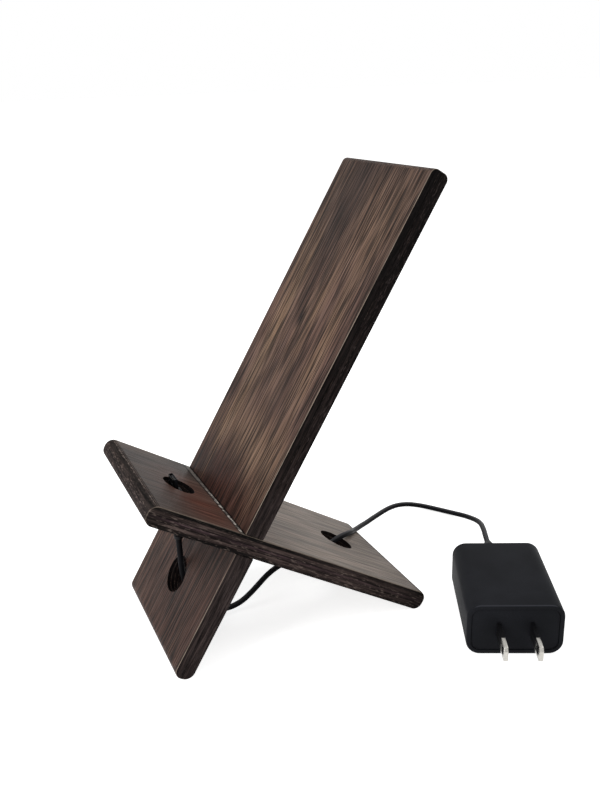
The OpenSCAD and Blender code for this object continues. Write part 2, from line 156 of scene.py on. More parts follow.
def addRod(name, middle, diameter, depth, turn, sides=64):  # cylinder primitive in mm
    bpy.ops.mesh.primitive_cylinder_add(vertices=sides, radius=diameter / 2 * mm, depth=depth * mm,
                                        location=[c * mm for c in middle], rotation=turn)
    return takeNew(name)


def applyModifier(piece, kind, **settings):
    makeActive(piece)
    modifier = piece.modifiers.new(kind.lower(), kind)
    for name, value in settings.items():
        setattr(modifier, name, value)
    bpy.ops.object.modifier_apply(modifier=modifier.name)


def breakEdges(piece, width, segments=2, angle=40):  # fine bevel along every edge sharper than the angle
    applyModifier(piece, "BEVEL", width=width * mm, segments=segments, limit_method="ANGLE",
                  angle_limit=math.radians(angle))


def cutOrJoin(piece, tools, operation="DIFFERENCE"):
    for tool in tools:
        applyModifier(piece, "BOOLEAN", operation=operation, solver="EXACT", object=tool)
        bpy.data.objects.remove(tool)


def bevelEdges(piece, test, width, segments):
    startEdit(piece, "EDGE", test)
    bpy.ops.mesh.bevel(offset=width * mm, segments=segments, affect="EDGES", clamp_overlap=True)
    endEdit()


def along(edge, axis):  # true where an edge runs along one axis
    span = (edge.verts[1].co - edge.verts[0].co).normalized()
    return abs(span[axis]) > 0.999


def cleanUp(piece):  # merge doubles, turn faces out
    startEdit(piece, "FACE", lambda face: True)
    bpy.ops.mesh.remove_doubles(threshold=0.000004)
    bpy.ops.mesh.normals_make_consistent(inside=False)
    endEdit()


def place(piece, matrix, angle=32):  # cleaned, from its own frame to the shared one, shaded smooth
    cleanUp(piece)
    makeActive(piece)
    piece.matrix_world = matrix
    bpy.ops.object.transform_apply(location=True, rotation=True, scale=True)
    bpy.ops.object.shade_smooth_by_angle(angle=math.radians(angle))
    endEdit()


def turnForm(name, profile, sides=48):  # rings of radius and height in mm, extruded one from the next
    bpy.ops.mesh.primitive_circle_add(vertices=sides, radius=profile[0][0] * mm, fill_type="NGON",
                                      location=(0, 0, profile[0][1] * mm))
    piece = takeNew(name)
    bpy.ops.object.mode_set(mode="EDIT")
    bpy.ops.mesh.select_all(action="SELECT")
    for (r0, z0), (r1, z1) in zip(profile, profile[1:]):
        bpy.ops.mesh.extrude_region_move(TRANSFORM_OT_translate={"value": (0, 0, (z1 - z0) * mm)})
        bpy.ops.transform.resize(value=(r1 / r0, r1 / r0, 1), center_override=(0, 0, z1 * mm))
    endEdit()
    cleanUp(piece)
    return piece


# camera
camera = {
    "position": (294.796, -114.648, 208.578),
    "azimuth": 66.324,
    "elevation": 20.338,
    "roll": -2.138,
    "lens": 38.26,
}
azimuth, elevation = math.radians(camera["azimuth"]), math.radians(camera["elevation"])
roll = math.radians(camera["roll"])
backward = Vector((math.sin(azimuth) * math.cos(elevation), -math.cos(azimuth) * math.cos(elevation),
                   math.sin(elevation)))
toRight = Vector((0, 0, 1)).cross(backward).normalized()
toTop = backward.cross(toRight)
rolledRight = toRight * math.cos(roll) + toTop * math.sin(roll)
rolledTop = toTop * math.cos(roll) - toRight * math.sin(roll)
turned = Matrix((rolledRight, rolledTop, backward)).transposed()
bpy.ops.object.camera_add(location=[c * mm for c in camera["position"]], rotation=turned.to_euler())
viewer = bpy.context.object
viewer.data.lens = camera["lens"]
viewer.data.sensor_width = 36
viewer.data.clip_start = 0.01
bpy.context.scene.camera = viewer
bpy.context.scene.view_settings.view_transform = "Standard"
print("camera placed")

# cord, in two stretches that meet behind the backrest
cord = {
    "thickness": 2.4,
    "sides": 16,
    "steps": 4,
    "front": [
        (0, -40.53, 40.735), (0, -40.53, 37.6), (0.1, -40.5, 32.1), (0.2, -40.4, 27.2), (0.3, -39.9, 22.3),
        (0.5, -38.9, 17.5), (0.6, -37.2, 12.9), (0.7, -34.5, 8.8), (0.8, -30.9, 5.5), (0.8, -26.4, 3.4),
        (0.6, -21.5, 2.8),
    ],
    "rear": [
        (0.6, -21.5, 2.8), (0.3, -16.4, 3.8), (-0.4, -11.7, 6.1), (-1.1, -7.3, 9), (-1.7, -3, 11.9),
        (-2, 1.7, 14.2), (-2, 6.7, 15.6), (-1.9, 11.9, 16.1), (-1.7, 17.1, 16.4), (-1.7, 22.3, 17.4),
        (-2, 27.4, 19.1), (-3.1, 32.5, 20.1), (-5.5, 37.1, 19.3), (-8.8, 40.7, 17.4), (-12.7, 43.4, 15.1),
        (-16.6, 46, 12.8), (-20.5, 49, 10.8), (-24.2, 52.2, 8.9), (-27.8, 55.7, 7.3), (-31.2, 59.4, 5.9),
        (-34.4, 63.4, 4.7), (-37.4, 67.7, 4), (-40, 72.2, 3.6), (-42.2, 77, 3.6), (-43.7, 82, 3.8),
        (-44.3, 87.2, 3.7), (-43.6, 92.4, 3.2), (-41.6, 97.2, 2.4), (-38.5, 101.4, 1.7),
        (-34.6, 104.9, 1.3), (-30.1, 107.7, 1.4), (-25.3, 109.6, 2), (-20.2, 110.8, 3), (-15.1, 111, 4.2),
        (-10.1, 110.4, 5.6), (-5.2, 109, 7.1), (-0.6, 107, 8.5), (3.9, 104.6, 9.7), (8.4, 102.1, 10.6),
        (13, 99.5, 11), (18.35, 96.78, 11),
    ],
    "intoPlug": 2,
    "intoCase": 25,
    "caseSteps": 5,
    "leadOut": 5,  # the curve leaves its last point as if it went on this far
}


def smoothLine(points, steps, before, after):  # a smooth curve through the points, between two neighbours
    line = [before] + points + [after]
    out = []
    for i in range(1, len(line) - 2):
        p0, p1, p2, p3 = line[i - 1:i + 3]
        for k in range(steps):
            t = k / steps
            out.append(0.5 * (2 * p1 + (p2 - p0) * t + (2 * p0 - 5 * p1 + 4 * p2 - p3) * t * t
                              + (3 * p1 - p0 - 3 * p2 + p3) * t * t * t))
    return out + [points[-1]]


def tubeAlong(name, line, radius, sides):  # closed tube round a line, with a UV map that follows it
    spans = [(line[min(i + 1, len(line) - 1)] - line[max(i - 1, 0)]).normalized() for i in range(len(line))]
    side = Vector((1, 0, 0))
    verts, faces = [], []
    for point, span in zip(line, spans):
        side = (side - side.dot(span) * span).normalized()
        other = span.cross(side)
        verts += [point + radius * (math.cos(a) * side + math.sin(a) * other)
                  for a in (2 * math.pi * k / sides for k in range(sides))]
    for i in range(len(line) - 1):
        for k in range(sides):
            a, b = i * sides + k, i * sides + (k + 1) % sides
            faces.append((a, b, b + sides, a + sides))
    faces.append(tuple(reversed(range(sides))))
    faces.append(tuple(range((len(line) - 1) * sides, len(line) * sides)))
    mesh = bpy.data.meshes.new(name)
    mesh.from_pydata(verts, [], faces)
    piece = bpy.data.objects.new(name, mesh)
    bpy.context.collection.objects.link(piece)
    runs = [0]
    for a, b in zip(line, line[1:]):
        runs.append(runs[-1] + (b - a).length / mm)
    around = mesh.uv_layers.new(name="alongCord").data
    for face in mesh.polygons:
        for corner in face.loop_indices:
            vert = mesh.loops[corner].vertex_index
            around[corner].uv = (vert % sides / sides, runs[vert // sides])
    makeActive(piece)
    bpy.ops.object.shade_smooth_by_angle(angle=math.radians(50))
    endEdit()
    return piece


frontPoints = [Vector(p) * mm for p in cord["front"]]
rearPoints = [Vector(p) * mm for p in cord["rear"]]
plugPlace = Matrix.Translation(frontPoints[0])
intoCase = Vector((math.sin(chargerTurn), -math.cos(chargerTurn), 0))
plugEnd = frontPoints[0] + Vector((0, 0, cord["intoPlug"] * mm))
caseEnd = rearPoints[-1] + intoCase * cord["intoCase"] * mm
frontLine = [plugEnd] + smoothLine(frontPoints, cord["steps"], plugEnd, rearPoints[1])
rearLine = smoothLine(rearPoints, cord["steps"], frontPoints[-2],
                      rearPoints[-1] + intoCase * cord["leadOut"] * mm)
for step in range(1, cord["caseSteps"] + 1):
    rearLine.append(rearPoints[-1].lerp(caseEnd, step / cord["caseSteps"]))
cordFront = tubeAlong("cordFront", frontLine, cord["thickness"] / 2 * mm, cord["sides"])
cordRear = tubeAlong("cordRear", rearLine, cord["thickness"] / 2 * mm, cord["sides"])
print("cord drawn")

# boards: sawn from plywood, ends rounded, halved into each other, holes drilled; sizes in mm
boards = {
    "width": 68,
    "thickness": 8,
    "shelfFront": 39,  # from the joint to each end
    "shelfRear": 93,
    "backrestBelow": 61,
    "backrestAbove": 148,
    "endRadius": 3.5,
    "crownRadius": 2.5,
    "cornerRadius": 1.6,
    "slotPlay": 0.4,
    "cordHole": 15,
    "plugHole": 13.47,
    "plugHoleAt": 16.9,  # from the joint to each hole
    "rearHoleAt": 63,
    "lowHoleAt": 35,
    "arris": 0.4,
    "plyLines": (1.6, 3.2, 4.8, 6.4),
    "plyGroove": 0.18,
    "grooveHalf": 0.2,
}


def addBoard(name, front, rear, radii, holes, slotMiddle, slotSide, where):
    w, t, play = boards["width"] / 2, boards["thickness"], boards["slotPlay"] / 2
    board = addBlock(name, (-w, front, -t), (w, rear, 0))
    for y, radius in ((front, radii[0]), (rear, radii[1])):
        bevelEdges(board, lambda e: along(e, 0) and abs(e.verts[0].co.y - y * mm) < close, radius, 8)
    # the rounded ends are sanded over at their corners
    atSide = lambda v: abs(abs(v.co.x) - w * mm) < close
    atEnd = lambda v: v.co.y < (front + radii[0]) * mm + close or v.co.y > (rear - radii[1]) * mm - close
    bevelEdges(board, lambda e: all(atSide(v) and atEnd(v) for v in e.verts), boards["cornerRadius"], 3)
    slot = t / 2 + play
    near, far = (-play, w + cut) if slotSide > 0 else (-w - cut, play)
    tools = [addBlock("slotCut", (near, slotMiddle - slot, -t - cut), (far, slotMiddle + slot, cut))]
    for y, diameter in holes:
        tools.append(addRod("holeCut", (0, y, -t / 2), diameter, t + 2 * cut, (0, 0, 0), 72))
    cutOrJoin(board, tools)
    # glue lines between the plies, pressed in as fine grooves all round the edges
    startEdit(board, "FACE", lambda face: True)
    for depth in boards["plyLines"]:
        for shift in (-boards["grooveHalf"], 0, boards["grooveHalf"]):
            bpy.ops.mesh.select_all(action="SELECT")
            bpy.ops.mesh.bisect(plane_co=(0, 0, (shift - depth) * mm), plane_no=(0, 0, 1))
    startEdit(board, "VERT", lambda v: any(abs(v.co.z + z * mm) < 2 * close for z in boards["plyLines"]))
    bpy.ops.transform.shrink_fatten(value=-boards["plyGroove"] * mm)
    endEdit()
    breakEdges(board, boards["arris"], 3, 60)
    place(board, where)
    applyModifier(board, "WEIGHTED_NORMAL", mode="FACE_AREA", weight=100, keep_sharp=True)
    return board


shelfHoles = (-boards["plugHoleAt"], boards["plugHole"]), (boards["rearHoleAt"], boards["cordHole"])
backrestHoles = (-boards["lowHoleAt"], boards["cordHole"]),
shelfRadii = boards["endRadius"], boards["endRadius"]
backrestRadii = boards["endRadius"], boards["crownRadius"]
slotAt = boards["thickness"] / 2
shelfBoard = addBoard("shelfBoard", -boards["shelfFront"], boards["shelfRear"], shelfRadii, shelfHoles,
                      slotAt, -1, shelfPlace)
backrestBoard = addBoard("backrestBoard", -boards["backrestBelow"], boards["backrestAbove"], backrestRadii,
                         backrestHoles, -slotAt, 1, backrestPlace)
print("boards cut")

# ribs of both strain reliefs: the share of each pitch that stands out, the groove's depth, the soft corners
ribs = {
    "share": 0.55,
    "groove": 0.6,
    "soften": 0.15,
    "hair": 0.01,  # height of a square step
}
soften, hair = ribs["soften"], ribs["hair"]


def ribRings(count, z0, z1, d0, d1):  # rings of a ribbed cone
    rings, pitch, groove = [], (z1 - z0) / count, ribs["groove"]
    for i in range(count):
        z = z0 + i * pitch
        top = z + pitch * ribs["share"]
        r = (d0 + (d1 - d0) * (i + ribs["share"] / 2) / count) / 2
        rings += [(r - groove, z + hair), (r - soften, z + 2 * hair), (r, z + soften), (r, top - soften),
                  (r - soften, top), (r - groove, top + hair), (r - groove, z + pitch)]
    return rings


# plug at the front end of the cord, standing on its strain relief; sizes in mm
plug = {
    "width": 8.8,
    "thickness": 6.4,
    "sideRound": 3.15,
    "endRound": 0.7,
    "relief": 7.5,
    "mouth": 2.7,
    "ribs": 3,
    "ribDiameters": (3.4, 5.4),
    "intoBody": 0.5,
    "body": 13.5,
    "shell": 6,
    "shellRoot": 4,
    "shellWidth": 6.9,
    "shellThickness": 1.9,
    "shellWall": 0.3,
    "shellCorner": 0.6,
    "shellEdge": 0.08,
    "window": (0.7, 1.6),
    "windowAt": (2.2, 3),  # from the middle and from the tip
}
halfWidth, halfThickness = plug["width"] / 2, plug["thickness"] / 2
top = plug["relief"] + plug["body"]
tip, root = top + plug["shell"], top - plug["shellRoot"]


def addShellForm(name, high):  # block of the shell's section, two corners cut
    w, t = plug["shellWidth"] / 2, plug["shellThickness"] / 2
    form = addBlock(name, (-w, -t, root), (w, t, high))
    bevelEdges(form, lambda e: along(e, 2) and e.verts[0].co.y < 0, plug["shellCorner"], 1)
    return form


plugOvermould = addBlock("plugOvermould", (-halfWidth, -halfThickness, plug["relief"]),
                         (halfWidth, halfThickness, top))
bevelEdges(plugOvermould, lambda e: along(e, 2), plug["sideRound"], 10)
bevelEdges(plugOvermould, lambda e: abs(e.verts[0].co.z - e.verts[1].co.z) < close, plug["endRound"], 4)
neck = plug["ribDiameters"][1] / 2 - ribs["groove"]
reliefRings = [(plug["mouth"] / 2, 0)] + ribRings(plug["ribs"], 0, plug["relief"], *plug["ribDiameters"])
reliefRings.append((neck, plug["relief"] + plug["intoBody"]))
cutOrJoin(plugOvermould, [turnForm("plugRelief", reliefRings, 40)], "UNION")
cutOrJoin(plugOvermould, [addShellForm("shellCut", tip + cut)])
place(plugOvermould, plugPlace)

plugShell = addShellForm("plugShell", tip)
startEdit(plugShell, "FACE", lambda f: f.normal.z > 0.9)
bpy.ops.mesh.inset(thickness=plug["shellWall"] * mm)
deep = plug["shell"] + plug["shellRoot"] - plug["shellWall"]
bpy.ops.mesh.extrude_region_move(TRANSFORM_OT_translate={"value": (0, 0, -deep * mm)})
endEdit()
wide, tall = (size / 2 for size in plug["window"])
aside, below = plug["windowAt"]
outer, through = -plug["shellThickness"] / 2, plug["shellWall"] + lap
windows = [addBlock("windowCut", (s * aside - wide, outer - cut, tip - below - tall),
                    (s * aside + wide, outer + through, tip - below + tall)) for s in (-1, 1)]
cutOrJoin(plugShell, windows)
breakEdges(plugShell, plug["shellEdge"])
place(plugShell, plugPlace)
print("plug made")

# wall charger at the other end: blades towards -Y, cord out of the far end; sizes in mm
charger = {
    "width": 37,
    "length": 48,
    "height": 22,
    "corner": 5.5,
    "cordEnd": 1.6,
    "draft": 0.2,
    "wall": 1.8,
    "edgeBreak": 0.8,
    "outlet": 11,  # height of the cord and the blades
    "outletHole": 6.2,
    "ledge": (3.2, 38.8, 2.4),  # carries the circuit board: width, length, height
    "ledgeFrom": 6.4,
    "ledgeSunk": 0.6,
    "capPlay": 0.1,
    "capInset": 0.3,
    "capThickness": 2.4,
    "capEdge": 0.25,
    "boss": (21, 3.3, 9.2),  # grips the blades behind the cap
    "bladeLength": 16,
    "bladeRoot": 9.6,
    "bladeWidth": 6.35,
    "bladeThickness": 1.5,
    "bladePitch": 12.7,
    "bladeCorner": 1.3,
    "bladeEdge": 0.16,
    "bladeHole": 3.1,
    "bladeHoleAt": 11.9,
    "relief": 18,
    "flange": (9, 1.5),  # diameter and thickness, inside the wall
    "neck": 6,
    "collar": (8, 1.8, 2),  # diameter, height of its edge, height
    "ribs": 5,
    "ribDiameters": (7.4, 5.4),
    "cone": 5,
    "coneRadii": (2.65, 2.7, 1.5, 1.3),
}
w, l, h = charger["width"], charger["length"], charger["height"]
wall, outlet, draft = charger["wall"], charger["outlet"], charger["draft"] * mm
chargerCase = addBlock("chargerCase", (-w / 2, 0, 0), (w / 2, l, h))
for side in (-1, 1):
    startEdit(chargerCase, "VERT", lambda v: v.co.y > l / 2 * mm and v.co.x * side > 0)
    bpy.ops.transform.translate(value=(-side * draft, 0, 0))
startEdit(chargerCase, "VERT", lambda v: v.co.y > l / 2 * mm and v.co.z > h / 2 * mm)
bpy.ops.transform.translate(value=(0, 0, -draft))
bevelEdges(chargerCase, lambda e: abs(e.verts[0].co.y - e.verts[1].co.y) > l / 2 * mm, charger["corner"], 10)
bevelEdges(chargerCase, lambda e: min(v.co.y for v in e.verts) > l * mm - close, charger["cordEnd"], 8)
bevelEdges(chargerCase, lambda e: max(v.co.y for v in e.verts) < close, charger["edgeBreak"], 4)
startEdit(chargerCase, "FACE", lambda f: f.normal.y < -0.999 and f.calc_center_median().y < close)
bpy.ops.mesh.inset(thickness=(wall - charger["edgeBreak"]) * mm)
bpy.ops.mesh.extrude_region_move(TRANSFORM_OT_translate={"value": (0, (l - wall) * mm, 0)})
endEdit()
cutOrJoin(chargerCase, [addRod("outletCut", (0, l, outlet), charger["outletHole"], 2 * (wall + cut),
                               (math.radians(90), 0, 0), 48)])
wide, deep, tall = charger["ledge"]
middle, start = w / 2 - wall - wide / 2, charger["ledgeFrom"]
ledges = [addBlock("ledge", (s * middle - wide / 2, start, wall - charger["ledgeSunk"]),
                   (s * middle + wide / 2, start + deep, wall + tall)) for s in (-1, 1)]
cutOrJoin(chargerCase, ledges, "UNION")
place(chargerCase, chargerPlace, 40)

rim, front = wall + charger["capPlay"], charger["capInset"]
back = front + charger["capThickness"]
chargerEndCap = addBlock("chargerEndCap", (rim - w / 2, front, rim), (w / 2 - rim, back, h - rim))
bevelEdges(chargerEndCap, lambda e: along(e, 1), charger["corner"] - wall, 10)
bevelEdges(chargerEndCap, lambda e: max(v.co.y for v in e.verts) < front * mm + close, charger["capEdge"], 3)
wide, deep, tall = charger["boss"]
boss = addBlock("boss", (-wide / 2, back - lap, outlet - tall / 2),
                (wide / 2, back + deep, outlet + tall / 2))
cutOrJoin(chargerEndCap, [boss], "UNION")
bladeX = charger["bladePitch"] / 2
halfBlade, halfHeight = charger["bladeThickness"] / 2, charger["bladeWidth"] / 2
slots = [addBlock("bladeSlot", (s * bladeX - halfBlade, -cut, outlet - halfHeight),
                  (s * bladeX + halfBlade, back + deep + cut, outlet + halfHeight)) for s in (-1, 1)]
cutOrJoin(chargerEndCap, slots)
place(chargerEndCap, chargerPlace)


def addBlade(name, x):  # flat blade with a cut-cornered tip and a drilled hole
    blade = addBlock(name, (x - halfBlade, -charger["bladeLength"], outlet - halfHeight),
                     (x + halfBlade, charger["bladeRoot"], outlet + halfHeight))
    bevelEdges(blade, lambda e: along(e, 0) and e.verts[0].co.y < 0, charger["bladeCorner"], 1)
    cutOrJoin(blade, [addRod("bladeHole", (x, -charger["bladeHoleAt"], outlet), charger["bladeHole"],
                             2 * (halfBlade + cut), (0, math.radians(90), 0), 40)])
    breakEdges(blade, charger["bladeEdge"])
    place(blade, chargerPlace)
    return blade


bladeLeft = addBlade("bladeLeft", -bladeX)
bladeRight = addBlade("bladeRight", bladeX)

# strain relief: flange inside the wall, neck through it, collar, ribs, cone down to the cord
(flange, flangeThickness), (collar, collarEdge, collarTop) = charger["flange"], charger["collar"]
flange, collar, neck, end = flange / 2, collar / 2, charger["neck"] / 2, charger["relief"]
inside, cone = -wall - flangeThickness, end - charger["cone"]
reliefRings = [(flange - soften, inside), (flange, inside + soften), (flange, -wall - soften),
               (flange - soften, -wall), (neck, hair - wall), (neck, 0), (collar - soften, hair),
               (collar, soften), (collar, collarEdge), (collar - soften, collarTop)]
reliefRings += ribRings(charger["ribs"], collarTop, cone, *charger["ribDiameters"])
reliefRings += zip(charger["coneRadii"], (cone + 2 * hair, cone + soften, end - soften, end))
chargerRelief = turnForm("chargerRelief", reliefRings)
place(chargerRelief, chargerPlace @ Matrix.Translation((0, l * mm, outlet * mm))
      @ Matrix.Rotation(math.radians(-90), 4, "X"))
print("charger made")

# patterns in the plywood: their size across, along and through the board in mm, noise detail, seed
# in life the fibres, pores and flecks are about 0.2 mm wide: they are drawn twice as wide so that they show
patterns = {
    "patchRim": ((8, 60, 8), 1, 61),
    "streak": ((1.5, 70, 1.5), 1, 47),
    "fibre": ((0.42, 22, 0.42), 0, 11),
    "fineFibre": ((0.37, 15, 0.37), 0, 97),
    "pore": ((0.5, 13, 0.5), 0, 29),
    "fleck": ((0.5, 16, 0.5), 0, 53),
    "plyWander": ((2.2, 25, 2.2), 2, 71),
    "rough": ((2.4, 2.6, 0.5), 2, 37),
    "plyLines": ((11, 11, 0.6), 2, 83),
    "chip": ((2.4, 1.6, 2.4), 2, 59),
    "rubbedArris": ((3, 13, 3), 3, 91),
    "stripFleck": ((1.6, 1.6, 1.6), 2, 17),
}


# each step of the wood takes what they share: how to add a node, board coordinates, common patterns
def grain(wood, pattern, coarse=0.55):
    size, detail, seed = wood["patterns"][pattern]
    spread = wood["add"]("Mapping", {
        "Vector": wood["onBoard"], "Location": (seed + 0.43, seed * 3 + 0.21, seed + 0.37),
        "Scale": [1 / s for s in size]})
    return wood["add"]("TexNoise", {
        "Vector": spread, "Scale": 1, "Detail": detail, "Roughness": coarse, "Distortion": 0.15})


def squareTo(wood, axis):  # 1 where the surface lies square to one of the board's own axes
    turned = Matrix.Rotation(wood["turn"], 3, "X") @ Vector(axis)
    facing = wood["add"]("VectorMath", [wood["normal"], turned], 1, operation="DOT_PRODUCT")
    return wood["add"]("Math", [facing], operation="ABSOLUTE")


def withPatches(wood, base, patches):  # soft oval areas with ragged rims: middle, reach, strength and colour
    add = wood["add"]
    for x, y, reachX, reachY, strength, colour in patches:
        away = add("Mapping", {"Vector": wood["onBoard"], "Location": (x, y, 0),
                               "Scale": (reachX, reachY, 1000)}, vector_type="TEXTURE")
        away = add("VectorMath", [away], 1, operation="LENGTH")
        away = add("Math", [wood["patchRim"], 0.6, away], operation="MULTIPLY_ADD")
        share = add("MapRange", [away, 0.3, 1.3, strength, 0], interpolation_type="SMOOTHSTEP")
        base = add("Mix", {0: share, 6: base, 7: fromHex(colour)}, 2, data_type="RGBA")
    return base


def faceVeneer(wood, look):  # broad streaks, with fibres, open pores and light flecks inside them
    add = wood["add"]
    tone = add("Math", [grain(wood, "streak"), -0.5], operation="ADD")
    broad = grain(wood, "broadStreak", 0.34)
    tone = add("Math", [tone, 0.04, broad], operation="MULTIPLY_ADD")
    for across, drift, half, strength in look["bands"]:  # light and dark streaks that run the board's length
        middle = add("Math", [wood["along"], drift, across], operation="MULTIPLY_ADD")
        away = add("Math", [wood["across"], middle], operation="SUBTRACT")
        away = add("Math", [away], operation="ABSOLUTE")
        share = add("MapRange", [away, 0, half, strength, 0], interpolation_type="SMOOTHSTEP")
        tone = add("Math", [tone, share], operation="ADD")
    veneer = add("ValToRGB", [tone], stops=look["veneer"])
    veneer = withPatches(wood, veneer, look["patches"])
    fibres = add("Math", [grain(wood, "fibre"), grain(wood, "fineFibre")], operation="ADD")
    tone = add("MapRange", [fibres, 0.84, 1.16, look["fibreDark"], look["fibreLight"]])
    veneer = add("VectorMath", {0: veneer, 3: tone}, operation="SCALE")
    poreShape = grain(wood, "pore")
    pores = add("MapRange", [poreShape, 0.56, 0.68, 0, look["poreDepth"]])
    veneer = add("Mix", {0: pores, 6: veneer, 7: fromHex(look["poreColour"])}, 2, data_type="RGBA")
    flecks = add("MapRange", [grain(wood, "fleck"), 0.54, 0.7])
    flecks = add("Mix", {0: flecks, 6: (1, 1, 1, 1), 7: look["fleck"]}, 2, data_type="RGBA")
    veneer = add("VectorMath", [veneer, flecks], operation="MULTIPLY")
    relief = add("Math", [poreShape, -0.8, fibres], operation="MULTIPLY_ADD")
    return veneer, pores, relief


def cutEdge(wood, look):  # tone of each ply through the thickness, with rubbed flecks along it
    add = wood["add"]
    depth = add("Math", [wood["through"], -boards["thickness"]], operation="DIVIDE")
    wander = add("Math", [grain(wood, "plyWander"), 0.05, depth], operation="MULTIPLY_ADD")
    edge = add("ValToRGB", [wander], stops=look["edge"])
    edge = withPatches(wood, edge, look["edgePatches"])
    tone = add("MapRange", [wood["plyLines"], 0.36, 0.64, 0.35, 1.65])
    edge = add("VectorMath", {0: edge, 3: tone}, operation="SCALE")
    rubbed = add("MapRange", [wood["rough"], 0.56, 0.7, 0, look["rub"]])
    deep = add("MapRange", [depth, look["rubFrom"], look["rubFrom"] + 0.1, 0.25, 1])
    rubbed = add("Math", [rubbed, deep], operation="MULTIPLY")
    return add("Mix", {0: rubbed, 6: edge, 7: fromHex(look["rubColour"])}, 2, data_type="RGBA")


def faceShare(wood, look):  # 1 on the veneer and 0 on the cut edge, with a torn border between
    add = wood["add"]
    facing = squareTo(wood, (0, 0, 1))
    torn = add("Math", [wood["rough"], -look["torn"], facing], operation="MULTIPLY_ADD")
    start = look["faceFrom"] - look["torn"] / 2
    share = add("MapRange", [torn, start, start + 0.12])
    flat = add("MapRange", [facing, 0.985, 0.995])
    return add("Math", [share, flat], operation="MAXIMUM")


def chippedRim(wood, look, onFace):  # pale chips along the border of face and edge
    add = wood["add"]
    rim = add("Math", [1, onFace], operation="SUBTRACT")
    rim = add("Math", [rim, onFace], operation="MULTIPLY")
    chips = add("MapRange", [grain(wood, "chip"), 0.44, 0.62, 0, look["rimWear"] * 4])
    return add("Math", [rim, chips], operation="MULTIPLY", use_clamp=True)


def wornArris(wood, look):  # rubbed line along both sides, known by its slanting normal next to the side
    add = wood["add"]
    slant, side = squareTo(wood, (1, 0, 0)), boards["width"] / 2
    toSide = add("Math", [wood["across"]], operation="ABSOLUTE")
    towardsEnd = add("MapRange", [squareTo(wood, (0, 1, 0)), 0.15, 0.35, 0, 0.7])
    byShowFace = add("MapRange", [wood["through"], -0.9, -0.6])
    worn = add("MapRange", [slant, 0.08, 0.25, 0, look["arrisWear"]])
    for share in (
            add("MapRange", [slant, 0.94, 0.99, 1, 0]),
            add("MapRange", [toSide, side - 0.6, side - 0.5]),
            add("Math", [byShowFace, towardsEnd], operation="MAXIMUM"),
            add("MapRange", [grain(wood, "rubbedArris"), 0.38, 0.55, 0.45, 1])):
        worn = add("Math", [worn, share], operation="MULTIPLY")
    return worn


def jointSeam(wood, look):  # where the boards meet: a dark line of painted shadow in the gap, with stain; on the shelf also a pale strip with light flecks
    add = wood["add"]
    first, last = look["seam"][0][0], look["seam"][-1][0]
    run = add("Math", [wood["rough"], 0.6, wood["along"]], operation="MULTIPLY_ADD")
    wider = add("MapRange", [wood["across"], -20, 10, look["seamFar"], 1])
    run = add("Math", [run, wider], operation="MULTIPLY")
    run = add("MapRange", [run, first, last])
    stops = [((y - first) / (last - first), colour, share) for y, colour, share in look["seam"]]
    seam = add("ValToRGB", [run], stops=[(at, colour) for at, colour, _ in stops])
    cover = add("ValToRGB", [run], stops=[(at, "#ffffff" if share else "#000000") for at, _, share in stops])
    spots = add("MapRange", [grain(wood, "stripFleck"), 0.48, 0.54, 0, look["seamSpots"]])
    for share in (
            add("MapRange", [wood["across"], -12, 6, 0.15, 1]),  # more of them on the near side
            add("MapRange", [seam, 0.03, 0.08])):  # on the pale strip alone
        spots = add("Math", [spots, share], operation="MULTIPLY")
    seam = add("Mix", {0: spots, 6: seam, 7: fromHex(look["stripFleckColour"])}, 2, data_type="RGBA")
    return seam, cover


def stainedPlywood(name, turn, look):
    # birch plywood under a dark walnut water stain: the face veneer keeps streaks of grain and open pores,
    # the cut edge drinks the stain and goes almost black with a few rubbed plies, arrises are worn paler
    mat, add = newMaterial(name)
    objectPlace = add("TexCoord", out="Object")
    # board coordinates in mm: x across, y along the grain, z out of the show face
    onBoard = add("Mapping", {"Vector": objectPlace, "Location": joint, "Rotation": (turn, 0, 0),
                              "Scale": (mm, mm, mm)}, vector_type="TEXTURE")
    xyz = add("SeparateXYZ", [onBoard]).node.outputs
    wood = {"add": add, "turn": turn, "onBoard": onBoard, "across": xyz[0], "along": xyz[1],
            "through": xyz[2], "normal": add("NewGeometry", out="Normal"),
            "patterns": dict(patterns, broadStreak=look["broadStreak"])}
    for key in ("patchRim", "rough", "plyLines"):
        wood[key] = grain(wood, key)
    veneer, pores, relief = faceVeneer(wood, look)
    onFace = faceShare(wood, look)
    seam, cover = jointSeam(wood, look)
    cover = add("Math", [cover, onFace], operation="MULTIPLY")
    colour = cutEdge(wood, look)
    for share, layer in (
            (onFace, veneer),
            (chippedRim(wood, look, onFace), fromHex(look["rimColour"])),
            (wornArris(wood, look), fromHex(look["arrisColour"])),
            (cover, seam)):
        colour = add("Mix", {0: share, 6: colour, 7: layer}, 2, data_type="RGBA")
    sheen = add("MapRange", [onFace, 0, 1, 0.8, look["faceRoughness"]])
    sheen = add("Math", [pores, 0.3, sheen], operation="MULTIPLY_ADD")
    bump = add("Bump", {"Strength": 0.4, "Distance": 0.15 * mm, "Height": relief})
    sawn = add("Math", [wood["plyLines"], wood["rough"]], operation="ADD")
    share = add("MapRange", [onFace, 0, 1, 1, 0.25])
    sawn = add("Math", [sawn, share], operation="MULTIPLY")
    bump = add("Bump", {"Strength": 0.6, "Distance": 0.25 * mm, "Height": sawn, "Normal": bump})
    shader = add("BsdfPrincipled", {"Base Color": colour, "Roughness": sheen, "Normal": bump,
                                    "IOR": 1.5, "Specular IOR Level": look["gloss"]})
    add("OutputMaterial", [shader])
    return mat


